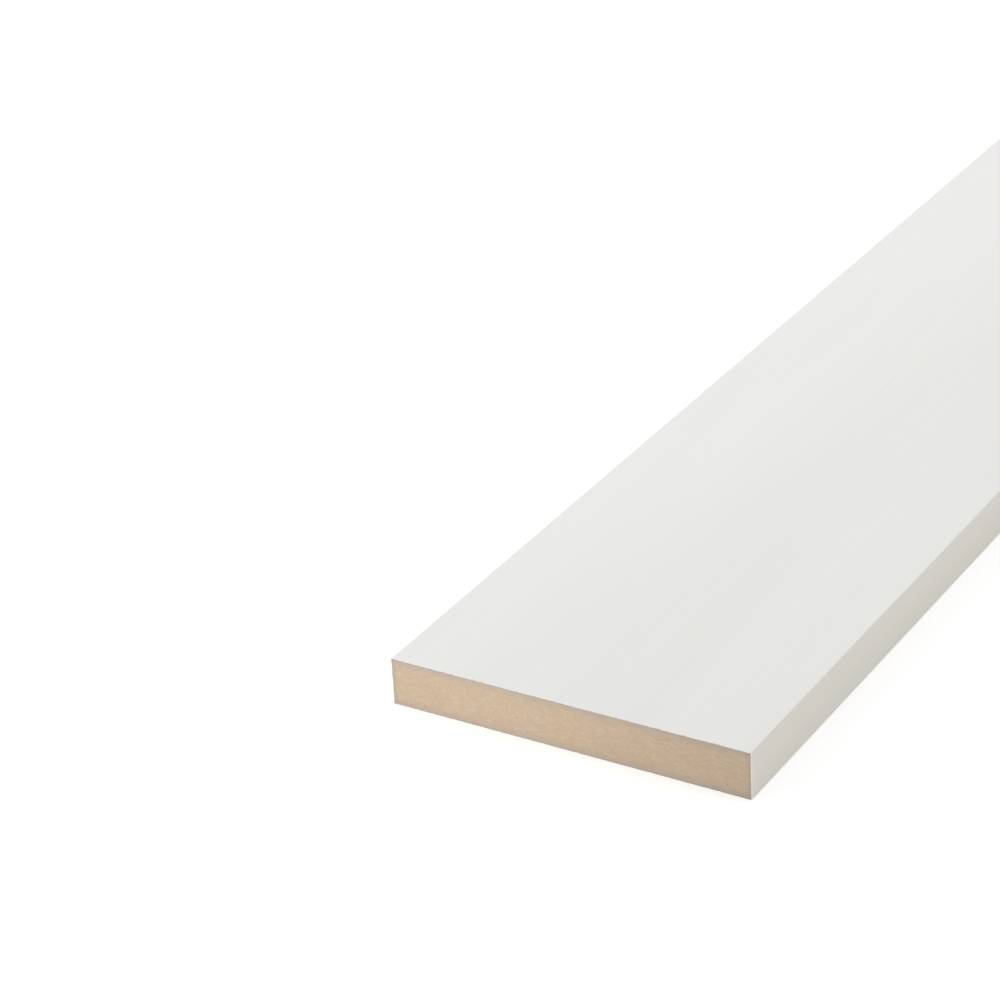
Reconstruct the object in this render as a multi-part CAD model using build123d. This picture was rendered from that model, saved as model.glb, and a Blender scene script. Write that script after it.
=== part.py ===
from build123d import *

import os

# Primed fibreboard moulding board: flat, square-edged trim stock in one length.
# It is moulded as a continuous strip, so one section is drawn across the board, run
# along its length and sawn square at both ends.
#
# Frame, in millimetres: +X across the width, +Y along the length, +Z up through the
# thickness. The origin is the middle of the underside, on the surface it lies on.

# Driving dimensions
THICKNESS = 18.256  # twenty-three thirty-seconds of an inch
WIDTH = 139.7  # five and a half inches
LENGTH = 2438.4  # eight feet
EASED_EDGE = 0.8  # radius of the four long arrises, about a thirty-second of an inch


def near_end_plane():
    """Plane of the near sawn end, centred on the section and facing away from the board."""
    middle_of_end = (0, -LENGTH / 2, THICKNESS / 2)
    return Plane(origin=middle_of_end, x_dir=(1, 0, 0), z_dir=(0, -1, 0))


def board_section():
    """Section across the board: a flat rectangle with its four corners eased."""
    return near_end_plane() * RectangleRounded(WIDTH, THICKNESS, EASED_EDGE)


def board():
    """The section run from the near sawn end to the far one."""
    return extrude(board_section(), amount=LENGTH, dir=(0, 1, 0))


PIECES = {"board": board}

os.makedirs("parts", exist_ok=True)
for node, make_piece in PIECES.items():
    piece = make_piece()
    export_step(piece, f"parts/{node}.step")
    print(node, "volume", round(piece.volume), "mm3", piece.bounding_box())
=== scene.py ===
import math

import bpy
from mathutils import Matrix, Vector


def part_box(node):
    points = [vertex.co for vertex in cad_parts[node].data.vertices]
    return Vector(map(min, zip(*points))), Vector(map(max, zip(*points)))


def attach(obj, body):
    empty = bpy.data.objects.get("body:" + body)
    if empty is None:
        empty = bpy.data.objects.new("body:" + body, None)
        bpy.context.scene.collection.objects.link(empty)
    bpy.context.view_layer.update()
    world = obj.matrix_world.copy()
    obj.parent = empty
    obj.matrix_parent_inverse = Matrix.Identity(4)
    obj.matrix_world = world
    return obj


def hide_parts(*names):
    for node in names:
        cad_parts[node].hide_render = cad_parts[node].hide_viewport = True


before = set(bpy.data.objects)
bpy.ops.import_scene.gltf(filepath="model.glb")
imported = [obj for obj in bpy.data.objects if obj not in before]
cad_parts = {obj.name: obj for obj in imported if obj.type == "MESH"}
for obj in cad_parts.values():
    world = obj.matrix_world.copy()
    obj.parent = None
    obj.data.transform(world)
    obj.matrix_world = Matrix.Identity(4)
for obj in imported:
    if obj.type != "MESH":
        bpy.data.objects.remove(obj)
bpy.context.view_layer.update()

# The board
# One length of flat trim stock. Medium-density fibreboard is ripped and moulded to a plain
# section with lightly eased arrises, coated with white primer on its four long faces, and
# then cross-cut with a circular saw, which leaves both ends bare and square.
MM = 0.001
board_low, board_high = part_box("board")
WIDTH, LENGTH, THICKNESS = board_high - board_low
HALF_WIDTH = WIDTH / 2
HALF_LENGTH = LENGTH / 2
HALF_THICKNESS = THICKNESS / 2
EASED_EDGE = 0.4 * MM  # as sharp as the photographed arrises look, half the solid's radius


def linear(hex_colour):
    """An sRGB hex colour as the linear red, green, blue and alpha of a colour socket."""
    shares = [int(hex_colour[i:i + 2], 16) / 255 for i in (1, 3, 5)]
    return [c / 12.92 if c <= 0.04045 else ((c + 0.055) / 1.055) ** 2.4 for c in shares] + [1.0]


def add(tree, kind, inputs=(), **settings):
    """Adds a node with its settings. An input is a value, a socket or a node's first output."""
    node = tree.nodes.new(kind)
    for name, value in settings.items():
        setattr(node, name, value)
    for key, value in dict(inputs).items():
        if isinstance(value, bpy.types.Node):
            value = value.outputs[0]
        if isinstance(value, bpy.types.NodeSocket):
            tree.links.new(value, node.inputs[key])
        else:
            node.inputs[key].default_value = value
    return node


# Sawn medium-density fibreboard: wood ground to fibres, felted flat and pressed with resin.
# A cross-cut shows short streaks that lie flat in the board, a pale open core that turns
# greyer and denser towards both faces, a few specks of bark, and no growth rings. It is dry
# and fully matt. Primer soaks into the milled edges, and its film shows end-on as a thin white
# rim, thicker along those edges than along the faces. Single fibres are too fine to show, so
# they are drawn as bundles.
CORE_COLOUR = "#C2AC92"
DENSE_COLOUR = "#AFA297"
PALE_FIBRE_COLOUR = "#CDBDA6"
DARK_FIBRE_COLOUR = "#AD967B"
BARK_COLOUR = "#80644B"
SOAKED_COLOUR = "#A69786"
FILM_COLOUR = "#F2F0EC"
DENSE_FACE = 5 * MM
DENSE_POWER = 2
SOAKED_EDGE = 2.4 * MM
SOAKED_SHARE = 0.6
FACE_FILM = 0.1 * MM
EDGE_FILM = 0.2 * MM
FILM_RAGGEDNESS = 0.2  # of its thickness, thicker and thinner
STREAK = (3 * MM, 3 * MM, 1.2 * MM)
TUFT = (1.2 * MM, 1.2 * MM, 0.8 * MM)
CLOUD = (9 * MM, 9 * MM, 4 * MM)
RAG = (1.1 * MM, 1.1 * MM, 1.1 * MM)
BARK_SPACING = (6 * MM, 6 * MM, 3 * MM)
BARK_SIZE = 0.07  # of the spacing
BARK_SHARE = 0.5
FIBRE_DETAIL = 3
FIBRE_RELIEF = 0.07 * MM
SAWN_ROUGHNESS = 0.92
NOISE_LOW, NOISE_HIGH = 0.3, 0.7  # nearly all of a noise's values lie between these
# Each tint is the noise value where it starts, the one where it is full, and its share there
STREAK_TINT = (0.42, 0.75, 0.7)
TUFT_TINT = (0.55, 0.25, 0.4)
CLOUD_TINT = (0.5, 0.8, 0.2)
MIX_FIRST, MIX_SECOND, MIX_RESULT = 6, 7, 2  # a Mix node's colour sockets, which share their names

sawn_fibreboard = bpy.data.materials.new("sawn_medium_density_fibreboard")
sawn_fibreboard.use_nodes = True
tree = sawn_fibreboard.node_tree
tree.nodes.clear()
place = add(tree, "ShaderNodeTexCoord").outputs["Object"]
streaks, tufts, clouds, rags = (
    add(tree, "ShaderNodeTexNoise", {
        "Vector": add(tree, "ShaderNodeVectorMath", {0: place, 1: size}, operation="DIVIDE"),
        "Scale": 1,
        "Detail": FIBRE_DETAIL,
    })
    for size in (STREAK, TUFT, CLOUD, RAG)
)
bark = add(tree, "ShaderNodeTexVoronoi", {
    "Vector": add(tree, "ShaderNodeVectorMath", {0: place, 1: BARK_SPACING}, operation="DIVIDE"),
    "Scale": 1,
})
from_middle = add(tree, "ShaderNodeVectorMath", {
    0: add(tree, "ShaderNodeVectorMath", {0: place, 1: (0, 0, HALF_THICKNESS)}, operation="SUBTRACT"),
}, operation="ABSOLUTE")
inside = add(tree, "ShaderNodeVectorMath", {
    0: (HALF_WIDTH, 0, HALF_THICKNESS), 1: from_middle,
}, operation="SUBTRACT")
from_edge, _, from_face = add(tree, "ShaderNodeSeparateXYZ", {0: inside}).outputs
edge_films, _, face_films = add(tree, "ShaderNodeSeparateXYZ", {
    0: add(tree, "ShaderNodeVectorMath", {0: inside, 1: (EDGE_FILM, 1, FACE_FILM)}, operation="DIVIDE"),
}).outputs
films_deep = add(tree, "ShaderNodeMath", {0: edge_films, 1: face_films}, operation="MINIMUM")
ragged_film = add(tree, "ShaderNodeMapRange", {
    "Value": rags,
    "From Min": NOISE_LOW,
    "From Max": NOISE_HIGH,
    "To Min": 1 - FILM_RAGGEDNESS,
    "To Max": 1 + FILM_RAGGEDNESS,
})
film = add(tree, "ShaderNodeMath", {0: films_deep, 1: ragged_film}, operation="LESS_THAN")
pale_streaks, dark_tufts, dark_clouds = (
    add(tree, "ShaderNodeMapRange", {
        "Value": pattern, "From Min": start, "From Max": full, "To Max": share,
    })
    for pattern, (start, full, share) in ((streaks, STREAK_TINT), (tufts, TUFT_TINT), (clouds, CLOUD_TINT))
)
by_face = add(tree, "ShaderNodeMapRange", {
    "Value": from_face, "From Max": DENSE_FACE, "To Min": 1, "To Max": 0,
})
dense = add(tree, "ShaderNodeMath", {0: by_face, 1: DENSE_POWER}, operation="POWER")
soaked = add(tree, "ShaderNodeMapRange", {
    "Value": from_edge, "From Max": SOAKED_EDGE, "To Min": SOAKED_SHARE, "To Max": 0,
})
specks = add(tree, "ShaderNodeMapRange", {
    "Value": bark, "From Min": BARK_SIZE, "From Max": BARK_SIZE / 2, "To Max": BARK_SHARE,
})
colour = linear(CORE_COLOUR)
for share, hex_colour in (
    (pale_streaks, PALE_FIBRE_COLOUR),
    (dark_tufts, DARK_FIBRE_COLOUR),
    (dark_clouds, DARK_FIBRE_COLOUR),
    (dense, DENSE_COLOUR),
    (soaked, SOAKED_COLOUR),
    (specks, BARK_COLOUR),
    (film, FILM_COLOUR),
):
    colour = add(tree, "ShaderNodeMix", {
        "Factor": share, MIX_FIRST: colour, MIX_SECOND: linear(hex_colour),
    }, data_type="RGBA").outputs[MIX_RESULT]
relief = add(tree, "ShaderNodeBump", {
    "Distance": FIBRE_RELIEF,
    "Height": add(tree, "ShaderNodeMath", {0: streaks, 1: tufts}),
})
shader = add(tree, "ShaderNodeBsdfPrincipled", {
    "Base Color": colour, "Roughness": SAWN_ROUGHNESS, "Normal": relief,
})
add(tree, "ShaderNodeOutputMaterial", {"Surface": shader})

# Factory primer: white acrylic drawn over the moulded faces in one pass and lightly sanded.
# It dries to a smooth, slightly satin film with faint lines along the length and a very fine
# stipple. The long edges drink more of it and take a second coat, which is warmer and duller.
# Beside the saw cuts it has broken away in tiny chips, and there the edges carry a painted highlight:
# paler paint for the bright line that the light gives along each cut.
PRIMER_COLOUR = "#E8E8E5"
EDGE_PRIMER_COLOUR = "#E7E4DA"
SHADED_PRIMER_COLOUR = "#E3E3E0"
DRAG_LINE = (1.4 * MM, 260 * MM, 1.4 * MM)
STIPPLE = (0.7 * MM, 0.7 * MM, 0.7 * MM)
SHEEN_CLOUD = (45 * MM, 320 * MM, 45 * MM)
CHIP = (1.3 * MM, 1.3 * MM, 1.3 * MM)
CHIP_REACH = 0.7 * MM
# How far from each cut the edges carry the painted highlight
PAINTED_HIGHLIGHT_REACH = 1.6 * MM
PRIMER_DETAIL = 2
FILM_RELIEF = 0.02 * MM
SATIN_ROUGHNESS, DULL_ROUGHNESS = 0.44, 0.56
# Each is the noise value where it starts, the one where it is full, and its amount there
DRAG_LINE_TINT = (0.45, 0.8, 0.4)
PRIMER_CHIPS = (0.5, 0.85, CHIP_REACH)

factory_primer = bpy.data.materials.new("factory_acrylic_primer")
factory_primer.use_nodes = True
tree = factory_primer.node_tree
tree.nodes.clear()
place = add(tree, "ShaderNodeTexCoord").outputs["Object"]
drag_lines, stipple, sheen_clouds, chips = (
    add(tree, "ShaderNodeTexNoise", {
        "Vector": add(tree, "ShaderNodeVectorMath", {0: place, 1: size}, operation="DIVIDE"),
        "Scale": 1,
        "Detail": PRIMER_DETAIL,
    })
    for size in (DRAG_LINE, STIPPLE, SHEEN_CLOUD, CHIP)
)
shaded_lines, chip_reach = (
    add(tree, "ShaderNodeMapRange", {
        "Value": pattern, "From Min": start, "From Max": full, "To Max": amount,
    })
    for pattern, (start, full, amount) in ((drag_lines, DRAG_LINE_TINT), (chips, PRIMER_CHIPS))
)
from_middle = add(tree, "ShaderNodeSeparateXYZ", {
    0: add(tree, "ShaderNodeVectorMath", {0: place}, operation="ABSOLUTE"),
}).outputs
on_edge = add(tree, "ShaderNodeMapRange", {
    "Value": from_middle["X"], "From Min": HALF_WIDTH - EASED_EDGE, "From Max": HALF_WIDTH,
}, interpolation_type="SMOOTHSTEP")
from_cut = add(tree, "ShaderNodeMath", {0: HALF_LENGTH, 1: from_middle["Y"]}, operation="SUBTRACT")
chipped = add(tree, "ShaderNodeMath", {0: from_cut, 1: chip_reach}, operation="LESS_THAN")
# Painted highlight: the edges are painted paler near each cut, fading out over this reach, for the bright
# line the light gives there
highlight_fade_by_cut = add(tree, "ShaderNodeMapRange", {
    "Value": from_cut, "From Max": PAINTED_HIGHLIGHT_REACH, "To Min": 1, "To Max": 0,
}, interpolation_type="SMOOTHSTEP")
painted_highlight_by_cut = add(tree, "ShaderNodeMath", {0: on_edge, 1: highlight_fade_by_cut}, operation="MULTIPLY")
colour = linear(PRIMER_COLOUR)
for share, hex_colour in (
    (on_edge, EDGE_PRIMER_COLOUR),
    # the painted highlight beside each cut
    (painted_highlight_by_cut, FILM_COLOUR),
    (shaded_lines, SHADED_PRIMER_COLOUR),
    (chipped, CORE_COLOUR),
):
    colour = add(tree, "ShaderNodeMix", {
        "Factor": share, MIX_FIRST: colour, MIX_SECOND: linear(hex_colour),
    }, data_type="RGBA").outputs[MIX_RESULT]
roughness = add(tree, "ShaderNodeMapRange", {
    "Value": sheen_clouds,
    "From Min": NOISE_LOW,
    "From Max": NOISE_HIGH,
    "To Min": SATIN_ROUGHNESS,
    "To Max": DULL_ROUGHNESS,
})
relief = add(tree, "ShaderNodeBump", {
    "Distance": FILM_RELIEF,
    "Height": add(tree, "ShaderNodeMath", {0: drag_lines, 1: stipple}),
})
shader = add(tree, "ShaderNodeBsdfPrincipled", {
    "Base Color": colour, "Roughness": roughness, "Normal": relief,
})
add(tree, "ShaderNodeOutputMaterial", {"Surface": shader})

# The board's shape is a rule: a box of fine cells whose section is rounded at the long arrises
# and whose two ends carry the saw's work. Tooth marks are arcs about the blade's axle, the open
# core is left fuzzy, and the cut arris has small chips. Every mark goes inwards from the box.
SIZES = {
    "Width": WIDTH,
    "Length": LENGTH,
    "Thickness": THICKNESS,
    "Eased edge": EASED_EDGE,
    "Cell": 0.3 * MM,
    "Rows": 17,
    "Crowding": 3.9,
    "Blade radius": 150 * MM,
    "Axle height": 146 * MM,
    "Tooth pitch": 1.5 * MM,
    "Tooth depth": 0.05 * MM,
    "Fuzz size": 0.7 * MM,
    "Fuzz depth": 0.06 * MM,
    "Chip size": 2.2 * MM,
    "Chip reach": CHIP_REACH,
    "Chip depth": 0.45 * MM,
    "Seed": 5,
}
SAW_DETAIL = 2
CUT_CHIPS_START, CUT_CHIPS_FULL = 0.5, 0.8  # noise values
LAST_ROW = 0.9999  # of the half length, past which a vertex lies on a saw cut
tree = bpy.data.node_groups.new("moulded_and_sawn_board", "GeometryNodeTree")
tree.interface.new_socket("Geometry", in_out="INPUT", socket_type="NodeSocketGeometry")
tree.interface.new_socket("Geometry", in_out="OUTPUT", socket_type="NodeSocketGeometry")
sockets = {
    name: tree.interface.new_socket(name, in_out="INPUT", socket_type="NodeSocketFloat")
    for name in SIZES
}
size = add(tree, "NodeGroupInput").outputs
half_width, half_length, half_thickness = (
    add(tree, "ShaderNodeMath", {0: size[name], 1: 0.5}, operation="MULTIPLY")
    for name in ("Width", "Length", "Thickness")
)
cells_across, cells_deep = (
    add(tree, "ShaderNodeMath", {
        0: add(tree, "ShaderNodeMath", {0: size[name], 1: size["Cell"]}, operation="DIVIDE"),
        1: 1,
    })
    for name in ("Width", "Thickness")
)
box_size = add(tree, "ShaderNodeCombineXYZ", {
    "X": size["Width"], "Y": size["Length"], "Z": size["Thickness"],
})
box = add(tree, "GeometryNodeMeshCube", {
    "Size": box_size,
    "Vertices X": add(tree, "FunctionNodeFloatToInt", {0: cells_across}),
    "Vertices Y": add(tree, "FunctionNodeFloatToInt", {0: size["Rows"]}),
    "Vertices Z": add(tree, "FunctionNodeFloatToInt", {0: cells_deep}),
})
place = add(tree, "GeometryNodeInputPosition")
along = add(tree, "ShaderNodeSeparateXYZ", {0: place}).outputs["Y"]
which_end = add(tree, "ShaderNodeMath", {0: along}, operation="SIGN")

# Section: what reaches past the inner corner is drawn in from a square corner to a round one
inner = add(tree, "ShaderNodeCombineXYZ", {
    "X": add(tree, "ShaderNodeMath", {0: half_width, 1: size["Eased edge"]}, operation="SUBTRACT"),
    "Z": add(tree, "ShaderNodeMath", {0: half_thickness, 1: size["Eased edge"]}, operation="SUBTRACT"),
})
across = add(tree, "ShaderNodeVectorMath", {0: place, 1: (1, 0, 1)}, operation="MULTIPLY")
minus_inner = add(tree, "ShaderNodeVectorMath", {0: inner, "Scale": -1}, operation="SCALE")
held = add(tree, "ShaderNodeVectorMath", {
    0: add(tree, "ShaderNodeVectorMath", {0: across, 1: inner}, operation="MINIMUM"),
    1: minus_inner,
}, operation="MAXIMUM")
past = add(tree, "ShaderNodeVectorMath", {0: across, 1: held}, operation="SUBTRACT")
past_sides = add(tree, "ShaderNodeSeparateXYZ", {
    0: add(tree, "ShaderNodeVectorMath", {0: past}, operation="ABSOLUTE"),
}).outputs
square_reach = add(tree, "ShaderNodeMath", {0: past_sides["X"], 1: past_sides["Z"]}, operation="MAXIMUM")
straight_reach = add(tree, "ShaderNodeVectorMath", {0: past}, operation="LENGTH").outputs["Value"]
rounding = add(tree, "ShaderNodeMath", {0: square_reach, 1: straight_reach}, operation="DIVIDE")
section = add(tree, "ShaderNodeVectorMath", {
    0: held,
    1: add(tree, "ShaderNodeVectorMath", {0: past, "Scale": rounding}, operation="SCALE"),
})
section_sides = add(tree, "ShaderNodeSeparateXYZ", {0: section}).outputs

# Length: rows crowd towards both saw cuts, where the detail is
from_centre = add(tree, "ShaderNodeMath", {
    0: add(tree, "ShaderNodeMath", {0: along}, operation="ABSOLUTE"), 1: half_length,
}, operation="DIVIDE")
crowded = add(tree, "ShaderNodeMath", {
    0: add(tree, "ShaderNodeMath", {0: 1, 1: from_centre}, operation="SUBTRACT"), 1: size["Crowding"],
}, operation="POWER")
row_place = add(tree, "ShaderNodeMath", {
    0: add(tree, "ShaderNodeMath", {0: 1, 1: crowded}, operation="SUBTRACT"), 1: half_length,
}, operation="MULTIPLY")
on_cut = add(tree, "ShaderNodeMath", {0: from_centre, 1: LAST_ROW}, operation="GREATER_THAN")

# Tooth marks: each is the blade's arc, moved across the board by the saw's feed
from_axle = add(tree, "ShaderNodeMath", {
    0: add(tree, "ShaderNodeMath", {0: section_sides["Z"], 1: half_thickness}), 1: size["Axle height"],
}, operation="SUBTRACT")
arc = add(tree, "ShaderNodeMath", {
    0: add(tree, "ShaderNodeMath", {
        0: add(tree, "ShaderNodeMath", {0: size["Blade radius"], 1: 2}, operation="POWER"),
        1: add(tree, "ShaderNodeMath", {0: from_axle, 1: from_axle}, operation="MULTIPLY"),
    }, operation="SUBTRACT"),
}, operation="SQRT")
feed = add(tree, "ShaderNodeMath", {
    0: add(tree, "ShaderNodeMath", {0: section_sides["X"], 1: arc}, operation="SUBTRACT"),
    1: size["Tooth pitch"],
}, operation="DIVIDE")
seed_here = add(tree, "ShaderNodeMath", {0: size["Seed"], 1: which_end}, operation="MULTIPLY")
teeth = add(tree, "ShaderNodeTexNoise", {
    "W": add(tree, "ShaderNodeMath", {0: feed, 1: seed_here}), "Scale": 1, "Detail": SAW_DETAIL,
}, noise_dimensions="1D")

# Fuzz lies all over the cut, and chips only along its rim
fuzz, chips = (
    add(tree, "ShaderNodeTexNoise", {
        "Vector": add(tree, "ShaderNodeVectorMath", {0: section, 1: size[name]}, operation="DIVIDE"),
        "W": seed_here,
        "Scale": 1,
        "Detail": SAW_DETAIL,
    }, noise_dimensions="4D")
    for name in ("Fuzz size", "Chip size")
)
from_sides = add(tree, "ShaderNodeSeparateXYZ", {
    0: add(tree, "ShaderNodeVectorMath", {
        0: inner, 1: add(tree, "ShaderNodeVectorMath", {0: section}, operation="ABSOLUTE"),
    }, operation="SUBTRACT"),
}).outputs
rim_depth = add(tree, "ShaderNodeMath", {
    0: add(tree, "ShaderNodeMath", {0: from_sides["X"], 1: from_sides["Z"]}, operation="MINIMUM"),
    1: size["Eased edge"],
})
near_rim = add(tree, "ShaderNodeMapRange", {
    "Value": rim_depth, "From Max": size["Chip reach"], "To Min": 1, "To Max": 0,
}, interpolation_type="SMOOTHSTEP")
chip_share = add(tree, "ShaderNodeMapRange", {
    "Value": chips, "From Min": CUT_CHIPS_START, "From Max": CUT_CHIPS_FULL,
})
chip_depth = add(tree, "ShaderNodeMath", {0: near_rim, 1: size["Chip depth"]}, operation="MULTIPLY")
cut_depth = 0
for amount, depth in (
    (teeth, size["Tooth depth"]),
    (fuzz, size["Fuzz depth"]),
    (chip_share, chip_depth),
):
    cut_depth = add(tree, "ShaderNodeMath", {0: amount, 1: depth, 2: cut_depth}, operation="MULTIPLY_ADD")
sawn_place = add(tree, "ShaderNodeMath", {
    0: row_place,
    1: add(tree, "ShaderNodeMath", {0: on_cut, 1: cut_depth}, operation="MULTIPLY"),
}, operation="SUBTRACT")
finished_place = add(tree, "ShaderNodeCombineXYZ", {
    "X": section_sides["X"],
    "Y": add(tree, "ShaderNodeMath", {0: sawn_place, 1: which_end}, operation="MULTIPLY"),
    "Z": add(tree, "ShaderNodeMath", {0: section_sides["Z"], 1: half_thickness}),
})

# Which faces are saw cuts, and where each face lies in the bake map, is read from the plain box
# before its vertices move. Opposite faces have a strip of the map each, at full width. A pair of
# strips is given by where the first one starts and how high both are.
BAKE_MAP = "OFBake"
BAKE_GAP = 0.01
CUT_STRIPS = (0.005, 0.13, 0)
FACE_STRIPS = (0.285, 0.28, 0)
EDGE_STRIPS = (0.865, 0.06, 0)
SQUARE_TO = 0.5  # a face is square to an axis when its normal has more than this along it
normal = add(tree, "GeometryNodeFieldOnDomain", {
    0: add(tree, "GeometryNodeInputNormal"),
}, data_type="FLOAT_VECTOR", domain="FACE")
facing = add(tree, "ShaderNodeSeparateXYZ", {
    0: add(tree, "ShaderNodeVectorMath", {0: normal}, operation="ABSOLUTE"),
}).outputs
is_cut = add(tree, "FunctionNodeCompare", {"A": facing["Y"], "B": SQUARE_TO})
is_face = add(tree, "FunctionNodeCompare", {"A": facing["Z"], "B": SQUARE_TO})
marked = add(tree, "GeometryNodeStoreNamedAttribute", {
    "Geometry": box, "Name": "sawn", "Value": is_cut,
}, data_type="BOOLEAN", domain="FACE")
shares = add(tree, "ShaderNodeSeparateXYZ", {
    0: add(tree, "ShaderNodeVectorMath", {
        0: add(tree, "ShaderNodeVectorMath", {0: place, 1: box_size}, operation="DIVIDE"),
        1: (0.5, 0.5, 0.5),
    }),
}).outputs
strips = add(tree, "GeometryNodeSwitch", {
    "Switch": is_cut,
    "False": add(tree, "GeometryNodeSwitch", {
        "Switch": is_face, "False": EDGE_STRIPS, "True": FACE_STRIPS,
    }, input_type="VECTOR"),
    "True": CUT_STRIPS,
}, input_type="VECTOR")
strip_low, strip_height, _ = add(tree, "ShaderNodeSeparateXYZ", {0: strips}).outputs
strip_along = add(tree, "GeometryNodeSwitch", {
    "Switch": is_cut, "False": shares["Y"], "True": shares["X"],
}, input_type="FLOAT")
strip_across = add(tree, "GeometryNodeSwitch", {
    "Switch": is_face, "False": shares["Z"], "True": shares["X"],
}, input_type="FLOAT")
outwards = add(tree, "ShaderNodeVectorMath", {0: normal, 1: (1, 1, 1)}, operation="DOT_PRODUCT")
is_second = add(tree, "ShaderNodeMath", {0: outwards.outputs["Value"], 1: 0}, operation="LESS_THAN")
strip_step = add(tree, "ShaderNodeMath", {0: strip_height, 1: BAKE_GAP})
strip_start = add(tree, "ShaderNodeMath", {
    0: is_second, 1: strip_step, 2: strip_low,
}, operation="MULTIPLY_ADD")
bake_place = add(tree, "ShaderNodeCombineXYZ", {
    "X": add(tree, "ShaderNodeMapRange", {
        "Value": strip_along, "To Min": BAKE_GAP, "To Max": 1 - BAKE_GAP,
    }),
    "Y": add(tree, "ShaderNodeMath", {
        0: strip_across, 1: strip_height, 2: strip_start,
    }, operation="MULTIPLY_ADD"),
})
mapped = add(tree, "GeometryNodeStoreNamedAttribute", {
    "Geometry": marked, "Name": BAKE_MAP, "Value": bake_place,
}, data_type="FLOAT2", domain="CORNER")
shaped = add(tree, "GeometryNodeSetPosition", {"Geometry": mapped, "Position": finished_place})
smooth = add(tree, "GeometryNodeSetShadeSmooth", {"Geometry": shaped})
solid = add(tree, "GeometryNodeRealizeInstances", {"Geometry": smooth})
primed = add(tree, "GeometryNodeSetMaterial", {"Geometry": solid, "Material": factory_primer})
finished = add(tree, "GeometryNodeSetMaterial", {
    "Geometry": primed,
    "Selection": add(tree, "GeometryNodeInputNamedAttribute", {"Name": "sawn"}, data_type="BOOLEAN"),
    "Material": sawn_fibreboard,
})
add(tree, "NodeGroupOutput", {0: finished})

SHARP_ANGLE = math.radians(40)
maker = bpy.data.objects.new("board_maker", bpy.data.meshes.new("board_maker"))
bpy.context.scene.collection.objects.link(maker)
modifier = maker.modifiers.new("moulded_and_sawn_board", "NODES")
modifier.node_group = tree
for name, value in SIZES.items():
    modifier[sockets[name].identifier] = float(value)
evaluated = maker.evaluated_get(bpy.context.evaluated_depsgraph_get())
mesh = bpy.data.meshes.new_from_object(evaluated)
mesh.name = "primed_board"
mesh.materials.pop(index=0)  # the box node's own empty slot
bpy.data.objects.remove(maker)
mesh.set_sharp_from_angle(angle=SHARP_ANGLE)
board = bpy.data.objects.new("primed_board", mesh)
bpy.context.scene.collection.objects.link(board)
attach(board, "root")
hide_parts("board")

# The floor
# A plain matt white studio floor under the board, which keeps the board's shadow. What the
# camera sees of it is lifted to white, and the light it gives back to the board isn't.
FLOOR_REACH = 30
FLOOR_COLOUR = "#E7E7E7"
FLOOR_LIFT = 0.44
WHITE = "#FFFFFF"


def seen_rays(tree):
    """One for the rays that show a background, from the camera or by way of gloss or glass, else zero."""
    rays = add(tree, "ShaderNodeLightPath").outputs
    seen = rays["Is Camera Ray"]
    for kind in ("Is Glossy Ray", "Is Transmission Ray"):
        seen = add(tree, "ShaderNodeMath", {0: seen, 1: rays[kind]}, operation="MAXIMUM").outputs[0]
    return seen


floor_corners = [
    (FLOOR_REACH * x, FLOOR_REACH * y, 0) for x, y in ((-1, -1), (1, -1), (1, 1), (-1, 1))
]
floor_mesh = bpy.data.meshes.new("floor")
floor_mesh.from_pydata(floor_corners, [], [(0, 1, 2, 3)])
floor = bpy.data.objects.new("floor", floor_mesh)
bpy.context.scene.collection.objects.link(floor)
floor_paint = bpy.data.materials.new("matt_white_floor_paint")
floor_paint.use_nodes = True
tree = floor_paint.node_tree
tree.nodes.clear()
paint = add(tree, "ShaderNodeBsdfDiffuse", {"Color": linear(FLOOR_COLOUR)})
lift = add(tree, "ShaderNodeEmission", {"Color": linear(WHITE), "Strength": FLOOR_LIFT})
lifted = add(tree, "ShaderNodeAddShader", {0: paint, 1: lift})
add(tree, "ShaderNodeOutputMaterial", {
    "Surface": add(tree, "ShaderNodeMixShader", {0: seen_rays(tree), 1: paint, 2: lifted}),
})
floor_mesh.materials.append(floor_paint)

# The light
# Plain soft studio light: a long bank above the left of the board, a weaker one low on its
# right, a small low softbox before each sawn end, and an even white surround.
SURROUND = 0.7
BANK_LENGTH = 3.2
END_LAMP_GAP = 0.17
END_LAMP_OFFSET = 0.05
END_LAMP_SIZE = (0.04, 0.014)
END_LAMP_WATTS = 0.13
LAMPS = {
    "left_bank": {"place": (-1.1, 0, 1.2), "aim": (0, 0, 0), "size": (BANK_LENGTH, 0.8), "watts": 14.2},
    "right_bank": {"place": (1.6, 0, 0.6), "aim": (0, 0, 0), "size": (BANK_LENGTH, 0.6), "watts": 3.4},
}
for name, end in (("near_end_lamp", -1), ("far_end_lamp", 1)):
    LAMPS[name] = {
        "place": (end * END_LAMP_OFFSET, end * (HALF_LENGTH + END_LAMP_GAP), HALF_THICKNESS),
        "aim": (end * END_LAMP_OFFSET, end * HALF_LENGTH, HALF_THICKNESS),
        "size": END_LAMP_SIZE,
        "watts": END_LAMP_WATTS,
    }
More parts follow.
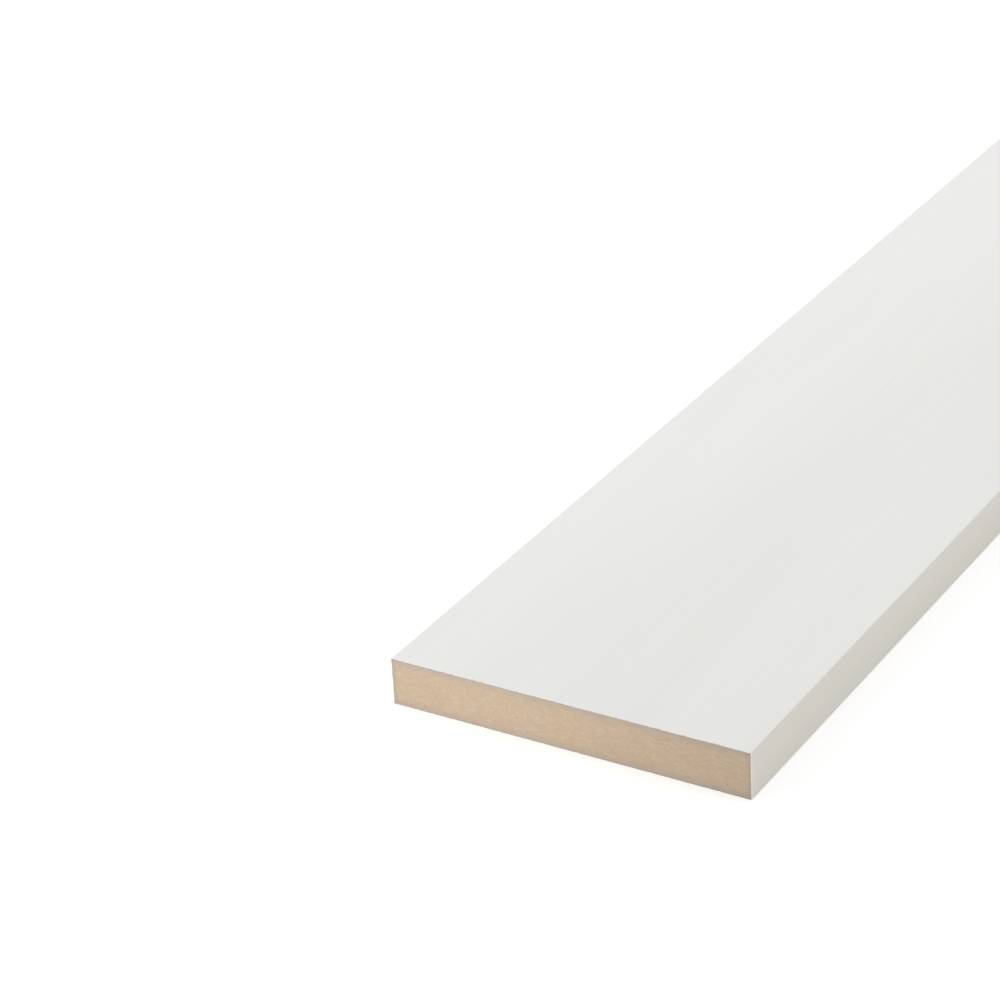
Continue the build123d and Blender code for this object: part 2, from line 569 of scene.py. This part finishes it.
for name, facts in LAMPS.items():
    light = bpy.data.lights.new(name, "AREA")
    light.shape = "RECTANGLE"
    light.size, light.size_y = facts["size"]
    light.energy = facts["watts"]
    lamp = bpy.data.objects.new(name, light)
    lamp.location = facts["place"]
    lamp.rotation_euler = (Vector(facts["aim"]) - lamp.location).to_track_quat("-Z", "Y").to_euler()
    lamp.visible_camera = False
    bpy.context.scene.collection.objects.link(lamp)

world = bpy.data.worlds.new("white_surround")
bpy.context.scene.world = world
world.use_nodes = True
tree = world.node_tree
tree.nodes.clear()
soft = add(tree, "ShaderNodeBackground", {"Color": linear(WHITE), "Strength": SURROUND})
white = add(tree, "ShaderNodeBackground", {"Color": linear(WHITE), "Strength": 1})
add(tree, "ShaderNodeOutputWorld", {
    "Surface": add(tree, "ShaderNodeMixShader", {0: seen_rays(tree), 1: soft, 2: white}),
})

# The camera
# It stands in front of the near end and to its right, looks down on the board through a long
# lens, and leans a little, as the photographed edges give it.
IMAGE_PIXELS = 1000
FOCAL_PIXELS = 3351.5
CAMERA_FROM_NEAR_END = Vector((0.5010, -0.8257, 0.6040))
CAMERA_AZIMUTH = math.radians(32.319)
CAMERA_ELEVATION = math.radians(27.689)
CAMERA_ROLL = math.radians(-3.269)
camera_data = bpy.data.cameras.new("camera")
camera_data.lens = camera_data.sensor_width * FOCAL_PIXELS / IMAGE_PIXELS
camera = bpy.data.objects.new("camera", camera_data)
bpy.context.scene.collection.objects.link(camera)
towards = Vector((
    -math.sin(CAMERA_AZIMUTH) * math.cos(CAMERA_ELEVATION),
    math.cos(CAMERA_AZIMUTH) * math.cos(CAMERA_ELEVATION),
    -math.sin(CAMERA_ELEVATION),
))
level = towards.to_track_quat("-Z", "Y").to_matrix().to_4x4()
stand = Matrix.Translation(Vector((0, -HALF_LENGTH, 0)) + CAMERA_FROM_NEAR_END)
camera.matrix_world = stand @ level @ Matrix.Rotation(CAMERA_ROLL, 4, "Z")
bpy.context.scene.camera = camera
bpy.context.scene.view_settings.view_transform = "Standard"
